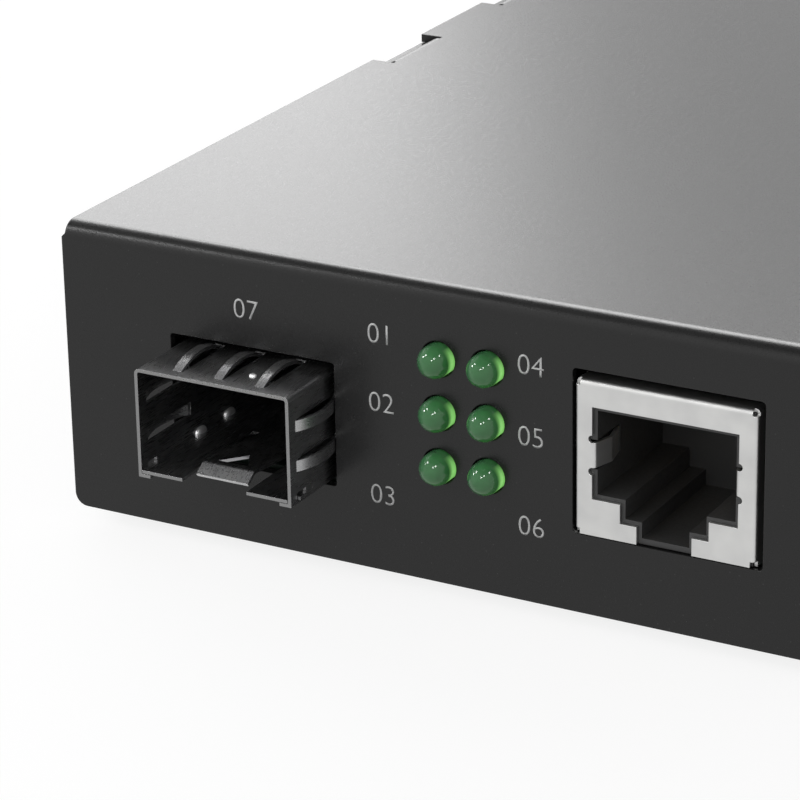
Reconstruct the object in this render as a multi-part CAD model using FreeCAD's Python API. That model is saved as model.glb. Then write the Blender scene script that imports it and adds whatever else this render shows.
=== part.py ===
import FreeCAD, Part
import math
import os

os.makedirs("parts", exist_ok=True)
Vec = FreeCAD.Vector

# A fibre media converter: a folded steel case round one circuit board, with an SFP slot for
# the fibre module, six LEDs and a copper RJ45 port at the front, and a DC inlet at the rear.
# Millimetres. +X right seen from the front, +Y from front to rear, +Z up.
# The origin is at the centre of the footprint, on the surface that the feet stand on.

# Case
panel_width = 73.0
case_depth = 94.5               # panel face to rear face
case_height = 26.6              # without the feet
sheet = 0.8                     # case sheet thickness
bend_radius = 0.7               # inside radius of the case bends
panel_overhang = 0.3            # the panel stands out past each side of the body
panel_shoulder_drop = 1.3       # full width of the panel ends below the case top
panel_corner_radius = 1.2
fit_gap = 0.1                   # cover against tray
tray_lip_height = 4.2           # upturned front lip behind the panel
rear_flange = 5.0               # turned forward under the top
relief = 0.5                    # extra length and height of the corner reliefs

# Cover tabs and screws
tab_width = 9.0
tab_drop = 8.0
tab_relief = 0.5
tab_from_rear = (35.0, 12.0)    # tab centres
tab_corner = 1.5
cover_screw_radius = 1.22       # at the thread root
cover_screw_length = 4.2
cover_head_radius = 2.1
thread_gap = 0.03
head_gap = 0.05

# Vents in the side walls
vent_count = 8
vent_width = 1.6
vent_height = 8.0
vent_corner = 0.45
vent_pitch = 4.5
vent_rise = 12.2                # vent centre above the case bottom
vent_from_front = 46.0          # middle of the row

# Feet
foot_radius = 4.5
foot_height = 1.5
foot_inset = 8.5

# Circuit board
board_thickness = 1.6
board_rise = 7.2                # board top above the case bottom
board_gap = 0.5                 # board edge to the sheets
board_corner_radius = 1.0
board_hole_radius = 1.6
board_screw_radius = 1.22
board_screw_length = 6.0
board_head_radius = 2.7
board_head_height = 1.9
recess_width = 0.6              # cross recess of the screws
standoff_across_flats = 5.0
standoff_head_flats = 4.2       # hexagonal head clinched in the tray floor
standoff_inset = 5.2            # from the side of the body
standoff_from_front = 30.0
standoff_from_rear = 20.5
pin_hole_gap = 0.15             # round a lead in the board
tail_length = 0.8               # leads below the board

# SFP cage
cage_width = 15.15
cage_height = 9.6
cage_length = 48.7
cage_proud = 6.7                # mouth in front of the panel
cage_sheet = 0.3
cage_bend_radius = 0.2
cage_centre_x = -17.55
cage_seat = 0.55                # floor plate above the board
cage_window_gap_x = 0.55        # panel window round the cage
cage_window_gap_z = 0.85
cage_window_radius = 0.3
spring_slit = 0.1
spring_from_mouth = 1.05
spring_length = 6.7
spring_rise = 0.9               # crest above the wall
spring_overlap = 0.15           # root into the wall
spring_tip_gap = 0.3            # tip to the end of its slot
top_spring_width = 0.84
top_spring_count = 3
top_spring_pitch = 4.05
top_spring_shift = 0.13         # row centre right of the cage centre
side_spring_width = 1.0
side_spring_count = 2
side_spring_pitch = 3.6
side_spring_shift = 0.05        # row centre above the cage centre
hook_length = 0.8
hook_reach = 1.0
hook_gap = 0.05                 # under the floor plate
cage_pin_width = 0.7
cage_pin_shoulder = 2.2
cage_pin_from_panel = (9.0, 22.0, 35.0)
floor_gap = 0.06
floor_ear_length = 1.3
floor_ear_reach = 0.25          # outside the side wall
floor_ear_room = 0.35           # height of its slot above it
floor_ear_from_mouth = (1.75, 22.0, 33.0)
tongue_width = 5.1
tongue_slot_gap = 0.65
tongue_root_from_mouth = 11.7
tongue_lift = 0.85              # tip ridge above the floor plate
tongue_ridge_from_mouth = 2.5
tongue_tip_from_mouth = 1.35
tongue_tip_drop = 0.75
latch_hole_width = 3.0
latch_hole_length = 2.6
latch_hole_from_mouth = 3.2

# SFP connector inside the rear of the cage
connector_width = 12.4
connector_depth = 8.4
connector_height = 5.8
connector_rear_gap = 0.5
connector_slot_width = 9.3
connector_slot_height = 1.5
connector_slot_depth = 5.2
connector_slot_rise = 2.9
connector_contact_count = 10    # in each of two rows
connector_contact_pitch = 0.8
connector_contact_width = 0.4
contact_thickness = 0.2

# LEDs
led_diameter = 2.9
led_flange_diameter = 3.7
led_flange_thickness = 1.0
led_length = 5.3
led_proud = 2.05                # dome tip in front of the panel
led_hole_gap = 0.15
led_centre_x = 2.84
led_column_pitch = 4.57
led_row_pitch = 4.8
led_row_count = 3
led_first_rise = 10.68          # lowest row above the case bottom
led_lead_size = 0.5
led_lead_spacing = 2.54
led_lead_step = 1.6             # each row's leads drop this much further back
holder_gap = 0.3                # holder to panel, and between holders
holder_fit = 0.08               # round the LED in the holder
holder_depth = 4.5
holder_cap = 2.4                # above the top LED's axis
holder_peg_half = 0.5

# RJ45 port
rj45_width = 16.2
rj45_height = 13.65
rj45_depth = 21.0
rj45_sheet = 0.3
rj45_edge_radius = 0.45
rj45_corner_notch = 0.5
rj45_centre_x = 21.24
rj45_window_gap_left = 0.18
rj45_window_gap_right = 0.65
rj45_window_gap_top = 0.9
rj45_window_gap_bottom = 0.1
rj45_window_radius = 0.4
plug_width = 13.02
plug_top = 11.38                # heights above the board
plug_floor = 3.25
key_width = 7.94
key_floor = 1.55
key_slot_width = 4.94
key_slot_floor = 0.5            # moulded floor under the key slot
plug_depth = 13.5
moulding_step = 0.35            # moulded cavity inside the shield's opening
finger_rise = 7.12              # ground finger centre above the board
finger_width = 2.2
finger_relief_radius = 0.33
finger_fold_reach = 0.25        # fold inside the opening's edge
finger_reach = 0.7
finger_length = 4.2
shield_leg_width = 1.6
rj45_contact_count = 8
rj45_contact_pitch = 1.02
rj45_contact_width = 0.45
rj45_contact_thickness = 0.3
rj45_peg_radius = 1.6
rj45_peg_spacing = 11.4
rj45_peg_from_face = 9.0

# DC inlet
jack_width = 9.0
jack_height = 11.0
jack_depth = 14.4
jack_centre_x = 19.5
jack_axis_rise = 6.5            # bore axis above the board
jack_bore_radius = 3.1
jack_bore_depth = 9.8
jack_pin_radius = 1.0
jack_pin_short = 0.8            # pin end behind the jack's face
jack_window_gap = 0.25
jack_window_radius = 0.5
jack_strip_width = 2.4
jack_strip_thickness = 0.3

# Chips and other parts on the board
chip_size = 12.0
chip_height = 1.4
chip_leads_per_side = 10
chip_lead_pitch = 1.0
chip_place = (3.0, 41.0)        # x, and distance behind the panel face
transformer_length = 12.7
transformer_width = 7.0
transformer_height = 5.6
transformer_leads_per_side = 8
transformer_lead_pitch = 1.27
transformer_behind_port = 9.0
chip_standoff = 0.1
lead_width = 0.35
lead_thickness = 0.15
lead_reach = 1.0
crystal_length = 11.4
crystal_width = 4.7
crystal_height = 3.4
crystal_place = (3.0, 24.0)
capacitor_radius = 3.15
capacitor_height = 7.7
inductor_size = 7.3
inductor_height = 4.5
regulator_size = (6.5, 3.5, 1.6)
ceramic_size = (2.0, 1.25, 0.9)

# Places that follow from the sizes above
mouth_y = -(case_depth + cage_proud) / 2
front_y = mouth_y + cage_proud
rear_y = front_y + case_depth
inner_front_y = front_y + sheet
bottom_z = foot_height
top_z = bottom_z + case_height
board_z = bottom_z + board_rise
board_under_z = board_z - board_thickness
body_half = panel_width / 2 - panel_overhang
wall_inner = body_half - sheet
bend_outer = bend_radius + sheet
under_top_z = top_z - sheet - fit_gap
tab_outer = wall_inner - fit_gap
cover_screw_z = top_z - sheet - tab_drop / 2 - 0.5
cage_rear_y = mouth_y + cage_length
cage_floor_z = board_z + cage_seat
cage_top_z = cage_floor_z + cage_height
cage_middle_z = cage_floor_z + cage_height / 2
cage_inner_half = cage_width / 2 - cage_sheet
connector_rear_y = cage_rear_y - cage_sheet - connector_rear_gap
connector_front_y = connector_rear_y - connector_depth
led_rear_y = front_y - led_proud + led_length
led_columns = [led_centre_x + side * led_column_pitch / 2 for side in (-1, 1)]
led_rows = [bottom_z + led_first_rise + row * led_row_pitch for row in range(led_row_count)]
holder_front_y = inner_front_y + holder_gap
holder_rear_y = holder_front_y + holder_depth
jack_front_y = rear_y - jack_depth
jack_axis_z = board_z + jack_axis_rise
standoff_places = {
    "front_left": (-body_half + standoff_inset, front_y + standoff_from_front),
    "front_right": (body_half - standoff_inset, front_y + standoff_from_front),
    "rear_left": (-body_half + standoff_inset, rear_y - standoff_from_rear),
    "rear_right": (body_half - standoff_inset, rear_y - standoff_from_rear),
}
foot_places = {
    "front_left": (-body_half + foot_inset, front_y + foot_inset),
    "front_right": (body_half - foot_inset, front_y + foot_inset),
    "rear_left": (-body_half + foot_inset, rear_y - foot_inset),
    "rear_right": (body_half - foot_inset, rear_y - foot_inset),
}


# Shapes used by several parts

def block(x0, x1, y0, y1, z0, z1):
    return Part.makeBox(x1 - x0, y1 - y0, z1 - z0, Vec(x0, y0, z0))


def rod(radius, start, direction, length):
    return Part.makeCylinder(radius, length, Vec(*start), Vec(*direction))


def prism(points, direction):
    """Straight prism on a closed outline of points."""
    corners = [Vec(*point) for point in points]
    return Part.Face(Part.makePolygon(corners + corners[:1])).extrude(Vec(*direction))


def round_edges(shape, radius, wanted):
    """Fillet the edges for which wanted(middle, direction) is true."""
    chosen = []
    for edge in shape.Edges:
        if edge.Curve.TypeId == "Part::GeomLine" and edge.Length > 1e-6:
            run = (edge.Vertexes[-1].Point - edge.Vertexes[0].Point).normalize()
            if wanted(edge.CenterOfMass, run):
                chosen.append(edge)
    return shape.makeFillet(radius, chosen)


def rounded_block(x0, x1, y0, y1, z0, z1, radius, axis):
    """Block with its four edges along the axis (0, 1 or 2) rounded."""
    return round_edges(block(x0, x1, y0, y1, z0, z1), radius,
                       lambda middle, run: abs(run[axis]) > 0.99)


def regular_outline(sides, across_flats, centre):
    """Corners of a level regular polygon round centre."""
    x, y, z = centre
    reach = across_flats / 2 / math.cos(math.pi / sides)
    turns = [2 * math.pi * (index + 0.5) / sides for index in range(sides)]
    return [(x + reach * math.cos(turn), y + reach * math.sin(turn), z) for turn in turns]


def bent_strip(points, thickness, radius, plane, start, width):
    """Folded strip. points run along the middle of its thickness, radius is the inside
    radius of every bend (0 leaves sharp mitres), plane is "YZ" or "XZ" or "XY", and the
    strip's width runs from start along the remaining axis."""
    path = [FreeCAD.Vector(u, v, 0) for u, v in points]
    runs = [(b - a).normalize() for a, b in zip(path, path[1:])]
    normals = [Vec(-run.y, run.x, 0) for run in runs]
    half = thickness / 2

    def place(point):
        if plane == "YZ":
            return Vec(start, point.x, point.y)
        if plane == "XZ":
            return Vec(point.x, start, point.y)
        return Vec(point.x, point.y, start)

    def side_edges(side):
        edges = []
        last = path[0] + normals[0] * side * half
        for index in range(1, len(path) - 1):
            before, after = normals[index - 1], normals[index]
            turn = runs[index - 1].cross(runs[index]).z
            angle = runs[index - 1].getAngle(runs[index])
            if radius == 0:
                mitre = (before + after) * (side * half / (1 + before.dot(after)))
                corner = path[index] + mitre
                edges.append(Part.LineSegment(place(last), place(corner)).toShape())
                last = corner
                continue
            sign = 1 if turn > 0 else -1
            middle_radius = radius + half
            cut_back = middle_radius * math.tan(angle / 2)
            arc_start = path[index] - runs[index - 1] * cut_back
            arc_end = path[index] + runs[index] * cut_back
            centre = arc_start + before * sign * middle_radius
            bisector = (before + after).normalize() * -sign
            arc_radius = middle_radius - side * sign * half
            first = arc_start + before * side * half
            final = arc_end + after * side * half
            edges.append(Part.LineSegment(place(last), place(first)).toShape())
            edges.append(Part.Arc(place(first), place(centre + bisector * arc_radius),
                                  place(final)).toShape())
            last = final
        end = path[-1] + normals[-1] * side * half
        edges.append(Part.LineSegment(place(last), place(end)).toShape())
        return edges

    left, right = side_edges(1), side_edges(-1)
    caps = [Part.LineSegment(place(path[end] + normals[end] * half),
                             place(path[end] - normals[end] * half)).toShape()
            for end in (0, -1)]
    wire = Part.Wire(Part.__sortEdges__(left + right + caps))
    out = {"YZ": Vec(width, 0, 0), "XZ": Vec(0, width, 0), "XY": Vec(0, 0, width)}[plane]
    return Part.Face(wire).extrude(out)


def turned(outline, base, axis):
    """Solid of revolution on outline points (radius, height). A pair of points in the
    list is an arc: its middle and its end."""
    edges = []
    last = outline[0]
    for step in outline[1:] + outline[:1]:
        if isinstance(step[0], tuple):
            middle, end = step
            edges.append(Part.Arc(*[Vec(r, 0, h) for r, h in (last, middle, end)]).toShape())
        else:
            end = step
            edges.append(Part.LineSegment(Vec(last[0], 0, last[1]),
                                          Vec(end[0], 0, end[1])).toShape())
        last = end
    solid = Part.Face(Part.Wire(edges)).revolve(Vec(0, 0, 0), Vec(0, 0, 1), 360)
    turn = FreeCAD.Rotation(Vec(0, 0, 1), Vec(*axis))
    solid.Placement = FreeCAD.Placement(Vec(*base), turn)
    return solid


def cross_recess(span, depth, top, axis, across):
    """Cutter for a cross recess. top is the head's outer centre, axis points out of it."""
    axis, across, top = Vec(*axis), Vec(*across), Vec(*top)
    cutters = []
    for along in (across, axis.cross(across)):
        side = axis.cross(along)
        corners = [top + along * a * span / 2 + side * b * recess_width / 2 - axis * depth
                   for a, b in ((-1, -1), (1, -1), (1, 1), (-1, 1))]
        face = Part.Face(Part.makePolygon(corners + corners[:1]))
        cutters.append(face.extrude(axis * (depth + 1)))
    return cutters[0].fuse(cutters[1])


def centred(count, pitch):
    """Positions of count items in a row, centred on zero."""
    return [(index - (count - 1) / 2) * pitch for index in range(count)]


# Case

def cover_tab_places():
    return [(side, rear_y - distance) for side in (-1, 1) for distance in tab_from_rear]


def cover_tab(side, y):
    """Tab bent down from the top inside the tray wall, with its tapped hole."""
    half = sheet / 2
    face = tab_outer - half
    points = [(side * (tab_outer - bend_outer - 1), top_z - half), (side * face, top_z - half),
              (side * face, top_z - sheet - tab_drop)]
    tab = bent_strip(points, sheet, bend_radius, "XZ", y - tab_width / 2, tab_width)
    low_edges = [edge for edge in tab.Edges if edge.CenterOfMass.z < top_z - tab_drop
                 and edge.BoundBox.XLength > sheet / 2 and edge.BoundBox.YLength < 0.01]
    tab = tab.makeChamfer(tab_corner, low_edges)
    hole = rod(cover_screw_radius + thread_gap, (side * (tab_outer + 1), y, cover_screw_z),
               (-side, 0, 0), sheet + 2)
    return tab.cut(hole)


def countersink(side, y):
    """Conical seat for a cover screw's head, from the wall's outer face inwards."""
    depth = cover_head_radius - cover_screw_radius
    return Part.makeCone(cover_head_radius + head_gap, cover_screw_radius + head_gap, depth,
                         Vec(side * body_half, y, cover_screw_z), Vec(-side, 0, 0))


def top_cover():
    half = sheet / 2
    points = [(front_y + half, bottom_z), (front_y + half, top_z - half), (rear_y, top_z - half)]
    cover = bent_strip(points, sheet, bend_radius, "YZ", -panel_width / 2, panel_width)
    shoulder_z = top_z - panel_shoulder_drop
    for side in (-1, 1):
        edge = panel_width / 2
        step = [(side * edge, front_y - 1, shoulder_z),
                (side * (edge - panel_overhang), front_y - 1, shoulder_z + panel_overhang),
                (side * (edge - panel_overhang), front_y - 1, top_z + 1),
                (side * (edge + 1), front_y - 1, top_z + 1),
                (side * (edge + 1), front_y - 1, shoulder_z)]
        cover = cover.cut(prism(step, (0, case_depth + 2, 0)))
    cover = round_edges(cover, panel_corner_radius, lambda middle, run: abs(run.y) > 0.99
                        and abs(middle.z - bottom_z) < 0.01)
    cutters = [sfp_window(), rj45_window()]
    for x in led_columns:
        for z in led_rows:
            cutters.append(rod(led_diameter / 2 + led_hole_gap, (x, front_y - 1, z),
                               (0, 1, 0), sheet + 2))
    for side, y in cover_tab_places():
        reach = tab_width / 2 + tab_relief
        edges = sorted((side * (tab_outer - bend_outer), side * (body_half + 1)))
        cutters.append(block(edges[0], edges[1], y - reach, y + reach,
                             top_z - sheet - 1, top_z + 1))
    cover = cover.cut(cutters)
    tabs = [cover_tab(side, y) for side, y in cover_tab_places()]
    return cover.multiFuse(tabs).removeSplitter()


def sfp_window():
    half = cage_width / 2 + cage_window_gap_x
    return rounded_block(cage_centre_x - half, cage_centre_x + half, front_y - 1,
                         inner_front_y + 1, cage_floor_z - cage_window_gap_z,
                         cage_top_z + cage_window_gap_z, cage_window_radius, 1)


def rj45_window():
    half = rj45_width / 2
    return rounded_block(rj45_centre_x - half - rj45_window_gap_left,
                         rj45_centre_x + half + rj45_window_gap_right, front_y - 1,
                         inner_front_y + 1, board_z - rj45_window_gap_bottom,
                         board_z + rj45_height + rj45_window_gap_top, rj45_window_radius, 1)


def base_tray():
    """Floor, side walls, front lip and flanged rear wall, folded from one sheet."""
    half = sheet / 2
    tray_front_y = inner_front_y + fit_gap
    floor_half = body_half - bend_outer
    wall = body_half - half
    sides = [(-wall, under_top_z), (-wall, bottom_z + half), (wall, bottom_z + half),
             (wall, under_top_z)]
    tray = bent_strip(sides, sheet, bend_radius, "XZ", tray_front_y, rear_y - tray_front_y)
    tray = round_edges(tray, bend_outer, lambda middle, run: abs(run.x) > 0.99
                       and abs(middle.y - tray_front_y) < 0.01 and middle.z > top_z - bend_outer)
    corner = bend_outer + relief
    tray = tray.cut([
        block(-floor_half, floor_half, tray_front_y - 1, tray_front_y + bend_outer,
              bottom_z - 1, bottom_z + bend_outer),
        block(-body_half - 1, body_half + 1, rear_y - corner, rear_y + 1,
              bottom_z - 1, bottom_z + corner)])
    lip = bent_strip([(tray_front_y + half, bottom_z + tray_lip_height),
                      (tray_front_y + half, bottom_z + half),
                      (tray_front_y + bend_outer + 1, bottom_z + half)],
                     sheet, bend_radius, "YZ", -floor_half + 1, 2 * (floor_half - 1))
    rear = bent_strip([(rear_y - corner - 1, bottom_z + half), (rear_y - half, bottom_z + half),
                       (rear_y - half, under_top_z - half),
                       (rear_y - rear_flange, under_top_z - half)],
                      sheet, bend_radius, "YZ", -floor_half, 2 * floor_half)
    wing_edge = wall_inner - fit_gap
    wings = [block(min(side * floor_half, side * wing_edge), max(side * floor_half, side * wing_edge),
                   rear_y - sheet, rear_y, bottom_z + corner, under_top_z - bend_outer)
             for side in (-1, 1)]
    tray = tray.multiFuse([lip, rear] + wings).removeSplitter()
    return tray.cut(tray_openings()).removeSplitter()


def tray_openings():
    cutters = [jack_window()]
    for x, y in standoff_places.values():
        seat = regular_outline(6, standoff_head_flats + thread_gap, (x, y, bottom_z - 1))
        cutters.append(prism(seat, (0, 0, sheet + 2)))
    for side, y in cover_tab_places():
        cutters.append(countersink(side, y))
        cutters.append(rod(cover_screw_radius + head_gap, (side * (body_half + 1), y, cover_screw_z),
                           (-side, 0, 0), sheet + 1.5))
    for side in (-1, 1):
        for shift in centred(vent_count, vent_pitch):
            cutters.append(vent(side, front_y + vent_from_front + shift))
    return cutters


def vent(side, y):
    """Upright slot through a side wall, with clipped corners."""
    z, clip = bottom_z + vent_rise, vent_corner
    a, b = vent_width / 2, vent_height / 2
    outline = [(-a, b - clip), (-a + clip, b), (a - clip, b), (a, b - clip),
               (a, clip - b), (a - clip, -b), (clip - a, -b), (-a, clip - b)]
    start = side * (body_half + 1)
    return prism([(start, y + across, z + up) for across, up in outline],
                 (-side * (sheet + 2), 0, 0))


def jack_window():
    half = jack_width / 2 + jack_window_gap
    return rounded_block(jack_centre_x - half, jack_centre_x + half, rear_y - sheet - 1,
                         rear_y + 1, board_z - jack_window_gap,
                         board_z + jack_height + jack_window_gap, jack_window_radius, 1)


def cover_screws():
    screws = []
    head = cover_head_radius - cover_screw_radius
    for side, y in cover_tab_places():
        outline = [(0, 0), (cover_head_radius, 0), (cover_screw_radius, head),
                   (cover_screw_radius, cover_screw_length), (0, cover_screw_length)]
        start = (side * body_half, y, cover_screw_z)
        screw = turned(outline, start, (-side, 0, 0))
        screws.append(screw.cut(cross_recess(2.6, 0.7, start, (side, 0, 0), (0, 1, 0))))
    return Part.makeCompound(screws)


def foot(place):
    x, y = place
    return rod(foot_radius, (x, y, 0), (0, 0, 1), foot_height)


def standoff(place):
    x, y = place
    floor_top = bottom_z + sheet
    body = prism(regular_outline(6, standoff_across_flats, (x, y, floor_top)),
                 (0, 0, board_under_z - floor_top))
    head = prism(regular_outline(6, standoff_head_flats, (x, y, bottom_z)), (0, 0, sheet))
    bore = rod(board_screw_radius + thread_gap, (x, y, bottom_z - 1), (0, 0, 1), board_rise + 1)
    return body.fuse(head).cut(bore).removeSplitter()


def board_screws():
    screws = []
    for x, y in standoff_places.values():
        crown = board_head_height
        outline = [(0, -board_screw_length), (board_screw_radius, -board_screw_length),
                   (board_screw_radius, 0), (board_head_radius, 0),
                   (board_head_radius, crown), (0, crown)]
        screw = turned(outline, (x, y, board_z), (0, 0, 1))
        top = (x, y, board_z + crown)
        screws.append(screw.cut(cross_recess(3.0, 1.1, top, (0, 0, 1), (1, 0, 0))))
    return Part.makeCompound(screws)


# SFP cage

def spring_arch(plane, start, width, level, outward):
    """Arched finger of the cage wall, rooted near the mouth and free at its far end."""
    outer = (spring_length ** 2 / 4 + spring_rise ** 2) / (2 * spring_rise)
    inner = outer - cage_sheet
    half = spring_length / 2
    inner_half = (inner ** 2 - (inner - spring_rise) ** 2) ** 0.5
    middle = mouth_y + spring_from_mouth + half

    def place(along, out):
        if plane == "YZ":
            return Vec(start, middle + along, level + outward * out)
        return Vec(level + outward * out, middle + along, start)

    root, tip = place(-half, 0), place(half, 0)
    root_under, tip_under = place(-inner_half, -cage_sheet), place(inner_half, -cage_sheet)
    edges = [Part.Arc(root, place(0, spring_rise), tip).toShape(),
             Part.makeLine(tip, tip_under),
             Part.Arc(tip_under, place(0, spring_rise - cage_sheet), root_under).toShape(),
             Part.makeLine(root_under, root)]
    run = Vec(width, 0, 0) if plane == "YZ" else Vec(0, 0, width)
    return Part.Face(Part.Wire(edges)).extrude(run)


def cage_springs():
    """Every spring finger with the slot that it leaves in the wall: (slot, finger)."""
    first = mouth_y + spring_from_mouth + spring_overlap
    last = mouth_y + spring_from_mouth + spring_length + spring_tip_gap
    pairs = []
    for shift in centred(top_spring_count, top_spring_pitch):
        left = cage_centre_x + top_spring_shift + shift - top_spring_width / 2
        slot = block(left - spring_slit, left + top_spring_width + spring_slit, first, last,
                     cage_top_z - cage_sheet - 0.1, cage_top_z + 0.1)
        pairs.append((slot, spring_arch("YZ", left, top_spring_width, cage_top_z, 1)))
    for side in (-1, 1):
        wall = cage_centre_x + side * cage_width / 2
        for shift in centred(side_spring_count, side_spring_pitch):
            low = cage_middle_z + side_spring_shift + shift - side_spring_width / 2
            edges = sorted((wall + side * 0.1, wall - side * (cage_sheet + 0.1)))
            slot = block(edges[0], edges[1], first, last, low - spring_slit,
                         low + side_spring_width + spring_slit)
            pairs.append((slot, spring_arch("XY", low, side_spring_width, wall, side)))
    return pairs


def cage_hook(side):
    """Lip at the mouth, folded inward under the floor plate from the wall's lower edge."""
    half = cage_sheet / 2
    wall = cage_centre_x + side * (cage_width / 2 - half)
    level = cage_floor_z - hook_gap - half
    points = [(wall, cage_floor_z + 1), (wall, level), (wall - side * hook_reach, level)]
    return bent_strip(points, cage_sheet, cage_bend_radius / 2, "XZ", mouth_y, hook_length)


def cage_pins():
    """Press-fit legs under the side walls: (x centre, y centre) of each."""
    wall = cage_width / 2 - cage_sheet / 2
    return [(cage_centre_x + side * wall, front_y + distance)
            for side in (-1, 1) for distance in cage_pin_from_panel]


def floor_ear_places():
    return [mouth_y + distance for distance in floor_ear_from_mouth]


def floor_ear_slot(side, y):
    """Slot through the side wall for an ear of the floor plate."""
    edges = sorted((cage_centre_x + side * (cage_inner_half - 1),
                    cage_centre_x + side * (cage_width / 2 + 1)))
    reach = floor_ear_length / 2 + floor_gap
    return block(edges[0], edges[1], y - reach, y + reach, cage_floor_z - floor_gap,
                 cage_floor_z + cage_sheet + floor_ear_room)


def sfp_cage_shell():
    half = cage_sheet / 2
    wall = cage_width / 2 - half
    low = cage_floor_z - cage_sheet - hook_gap
    section = [(cage_centre_x - wall, low), (cage_centre_x - wall, cage_top_z - half),
               (cage_centre_x + wall, cage_top_z - half), (cage_centre_x + wall, low)]
    shell = bent_strip(section, cage_sheet, cage_bend_radius, "XZ", mouth_y, cage_length)
    rear = block(cage_centre_x - cage_inner_half, cage_centre_x + cage_inner_half,
                 cage_rear_y - cage_sheet, cage_rear_y, cage_floor_z, cage_top_z - half)
    pairs = cage_springs()
    cutters = [slot for slot, finger in pairs]
    extras = [finger for slot, finger in pairs]
    for side in (-1, 1):
        cutters += [floor_ear_slot(side, y) for y in floor_ear_places()]
        extras.append(cage_hook(side))
    shell = shell.fuse(rear).cut(cutters)
    for x, y in cage_pins():
        extras.append(block(x - half, x + half, y - cage_pin_shoulder / 2,
                            y + cage_pin_shoulder / 2, board_z, cage_floor_z + 0.5))
        extras.append(block(x - half, x + half, y - cage_pin_width / 2, y + cage_pin_width / 2,
                            board_under_z - tail_length, board_z + 0.2))
    return shell.multiFuse(extras).removeSplitter()


def sfp_cage_floor():
    """Floor plate with the latch tongue sprung up in its slot and pierced by the latch hole."""
    half = cage_sheet / 2
    left = cage_centre_x - cage_inner_half + floor_gap
    right = cage_centre_x + cage_inner_half - floor_gap
    top = cage_floor_z + cage_sheet
    root_y = mouth_y + tongue_root_from_mouth
    plate = block(left, right, mouth_y, connector_front_y - floor_gap, cage_floor_z, top)
    reach = cage_width / 2 + floor_ear_reach
    ears = [block(cage_centre_x - reach, cage_centre_x + reach, y - floor_ear_length / 2,
                  y + floor_ear_length / 2, cage_floor_z, top) for y in floor_ear_places()]
    plate = plate.multiFuse(ears)
    slot_half = tongue_width / 2 + tongue_slot_gap
    plate = plate.cut(block(cage_centre_x - slot_half, cage_centre_x + slot_half, mouth_y - 1,
                            root_y, cage_floor_z - 1, top + 1))
    ridge_z = cage_floor_z + half + tongue_lift
    tongue = bent_strip([(mouth_y + tongue_tip_from_mouth, ridge_z - tongue_tip_drop),
                         (mouth_y + tongue_ridge_from_mouth, ridge_z),
                         (root_y, cage_floor_z + half), (root_y + 1, cage_floor_z + half)],
                        cage_sheet, cage_bend_radius, "YZ", cage_centre_x - tongue_width / 2,
                        tongue_width)
    hole_y = mouth_y + latch_hole_from_mouth
    hole = prism([(cage_centre_x - latch_hole_width / 2, hole_y, cage_floor_z - 1),
                  (cage_centre_x + latch_hole_width / 2, hole_y, cage_floor_z - 1),
                  (cage_centre_x, hole_y + latch_hole_length, cage_floor_z - 1)], (0, 0, 4))
    return plate.fuse(tongue.cut(hole)).removeSplitter()


# SFP connector

def connector_channels():
    """Slots through the moulding for the two rows of contacts: (low z, high z)."""
    low = board_z + connector_slot_rise - contact_thickness
    high = board_z + connector_slot_rise + connector_slot_height
    return [(low, low + contact_thickness), (high, high + contact_thickness)]


def sfp_connector():
    left = cage_centre_x - connector_width / 2
    right = cage_centre_x + connector_width / 2
    body = rounded_block(left, right, connector_front_y, connector_rear_y, board_z,
                         board_z + connector_height, 0.5, 1)
    slot_low = board_z + connector_slot_rise
    half = connector_slot_width / 2
    cutters = [block(cage_centre_x - half, cage_centre_x + half, connector_front_y - 1,
                     connector_front_y + connector_slot_depth, slot_low,
                     slot_low + connector_slot_height)]
    row = connector_contact_count * connector_contact_pitch / 2 + 0.2
    for low, high in connector_channels():
        cutters.append(block(cage_centre_x - row, cage_centre_x + row,
                             connector_front_y + 1, connector_rear_y + 1, low, high))
    cutters.append(block(cage_centre_x - row, cage_centre_x + row, connector_rear_y - 1.6,
                         connector_rear_y + 1, board_z - 1, board_z + connector_slot_rise
                         + connector_slot_height + contact_thickness))
    return body.cut(cutters).removeSplitter()


def sfp_connector_contacts():
    contacts = []
    feet = ((connector_rear_y - 1.3, 0.5), (connector_rear_y - 0.4, 0.8))
    for (low, high), (drop_y, foot_length) in zip(connector_channels(), feet):
        middle = (low + high) / 2
        foot_z = board_z + contact_thickness / 2
        points = [(connector_front_y + 1.4, middle), (drop_y, middle), (drop_y, foot_z),
                  (drop_y + foot_length, foot_z)]
        for shift in centred(connector_contact_count, connector_contact_pitch):
            left = cage_centre_x + shift - connector_contact_width / 2
            contacts.append(bent_strip(points, contact_thickness, 0, "YZ", left,
                                       connector_contact_width))
    return Part.makeCompound(contacts)


# LEDs

def led(x, z):
    radius = led_diameter / 2
    flange = led_flange_diameter / 2
    shoulder = led_length - led_flange_thickness
    knee = radius * math.sqrt(0.5)
    outline = [(0, 0), ((knee, radius - knee), (radius, radius)), (radius, shoulder),
               (flange, shoulder), (flange, led_length), (0, led_length)]
    return turned(outline, (x, front_y - led_proud, z), (0, 1, 0))


def led_lead_places():
    """Each lead: (x, z of its LED, y where it drops to the board)."""
    places = []
    for column in led_columns:
        for row, z in enumerate(led_rows):
            drop_y = holder_rear_y + led_lead_step / 2 + row * led_lead_step
            for side in (-1, 1):
                places.append((column + side * led_lead_spacing / 2, z, drop_y))
    return places


def led_leads():
    size = led_lead_size
    return Part.makeCompound([
        bent_strip([(led_rear_y, z), (drop_y - size, z), (drop_y, z - size),
                    (drop_y, board_under_z - tail_length)], size, 0, "YZ", x - size / 2, size)
        for x, z, drop_y in led_lead_places()])


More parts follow.
